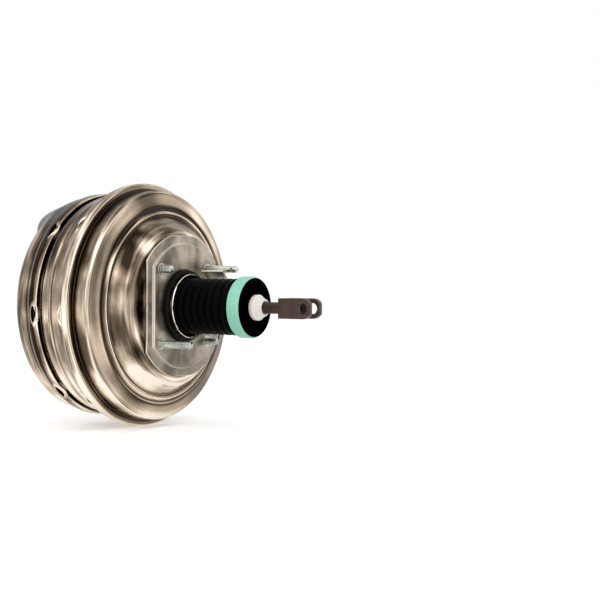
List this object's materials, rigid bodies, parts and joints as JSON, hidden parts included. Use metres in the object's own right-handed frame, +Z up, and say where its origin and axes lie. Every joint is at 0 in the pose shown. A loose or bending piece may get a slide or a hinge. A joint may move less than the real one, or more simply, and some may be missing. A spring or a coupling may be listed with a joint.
{
  "type": "brake booster",
  "caption": "Tandem vacuum brake booster: crimped steel shells, bulkhead plate with studs, folded boot, input rod with fork clevis, port and bore for a master cylinder.",
  "frame": {"origin": "centre of the bulkhead mounting face, on the booster's axis", "axes": "+Y along the axis from the pedal side to the master-cylinder side, +Z up as fitted, +X to the vehicle's right"},
  "size_m": [0.255, 0.3436, 0.255],
  "materials": {
    "bright_shell": "polished zinc",
    "plate_steel": "dull zinc",
    "zinc_stud": "clear zinc",
    "inner_steel": "bare rolled sheet",
    "yellow_zinc": "yellow zinc",
    "black_rubber": "matte",
    "seal_rubber": "satin",
    "phenolic": "moulded",
    "black_plastic": "moulded",
    "filter_foam": "open foam",
    "spring_steel": "oiled wire",
    "phosphated_steel": "dark phosphate",
    "pale_plastic": "moulded",
    "green_plastic": "moulded",
    "bright_sheet": "zinc plated"
  },
  "bodies": {
    "housing": {"rear_shell": "bright_shell", "centre_shell": "bright_shell", "front_shell": "bright_shell", "divider_plate": "inner_steel", "mounting_plate": "plate_steel", "front_reinforcement": "inner_steel", "tie_rods": "zinc_stud", "rear_studs": "zinc_stud", "stud_collars": "plate_steel", "hub_gasket": "black_rubber", "rear_hub_seal": "seal_rubber", "centre_seal": "seal_rubber", "divider_bushes": "seal_rubber", "master_seal_ring": "seal_rubber"},
    "power_piston": {"rear_diaphragm": "seal_rubber", "front_diaphragm": "seal_rubber", "rear_support_plate": "yellow_zinc", "front_support_plate": "yellow_zinc", "valve_body": "phenolic", "plate_bushes": "seal_rubber", "spring_seat": "yellow_zinc", "return_spring": "spring_steel", "reaction_disc": "seal_rubber", "output_rod": "phosphated_steel", "adjusting_screw": "zinc_stud", "stop_key": "inner_steel", "poppet_retainer": "bright_sheet", "air_filter": "filter_foam"},
    "plunger": {"plunger": "inner_steel"},
    "poppet": {"poppet_valve": "seal_rubber", "poppet_spring": "spring_steel"},
    "input_rod": {"input_rod": "phosphated_steel", "rod_return_spring": "spring_steel", "rod_bush": "pale_plastic", "clevis": "phosphated_steel", "boot": "black_rubber", "boot_ring": "green_plastic", "end_disc": "filter_foam"}
  },
  "joints": [
    {"name": "piston_slide", "type": "slide", "parent": "housing", "child": "power_piston", "axis": [0, 1, 0], "range_m": [0, 0.032], "deforming": ["rear_diaphragm", "front_diaphragm", "return_spring", "boot"]},
    {"name": "plunger_slide", "type": "slide", "parent": "power_piston", "child": "plunger", "axis": [0, 1, 0], "range_m": [0, 0.0015], "deforming": ["rod_return_spring"]},
    {"name": "poppet_slide", "type": "slide", "parent": "power_piston", "child": "poppet", "axis": [0, 1, 0], "range_m": [0, 0.000225], "deforming": ["poppet_spring"]},
    {"name": "rod_swivel", "type": "hinge", "parent": "plunger", "child": "input_rod", "pos_m": [0, 0.018, 0], "axis": [1, 0, 0], "range_deg": [-2, 2]}
  ],
  "couplings": [
    {"joint": "poppet_slide", "follows": "plunger_slide", "ratio": 0.15}
  ]
}
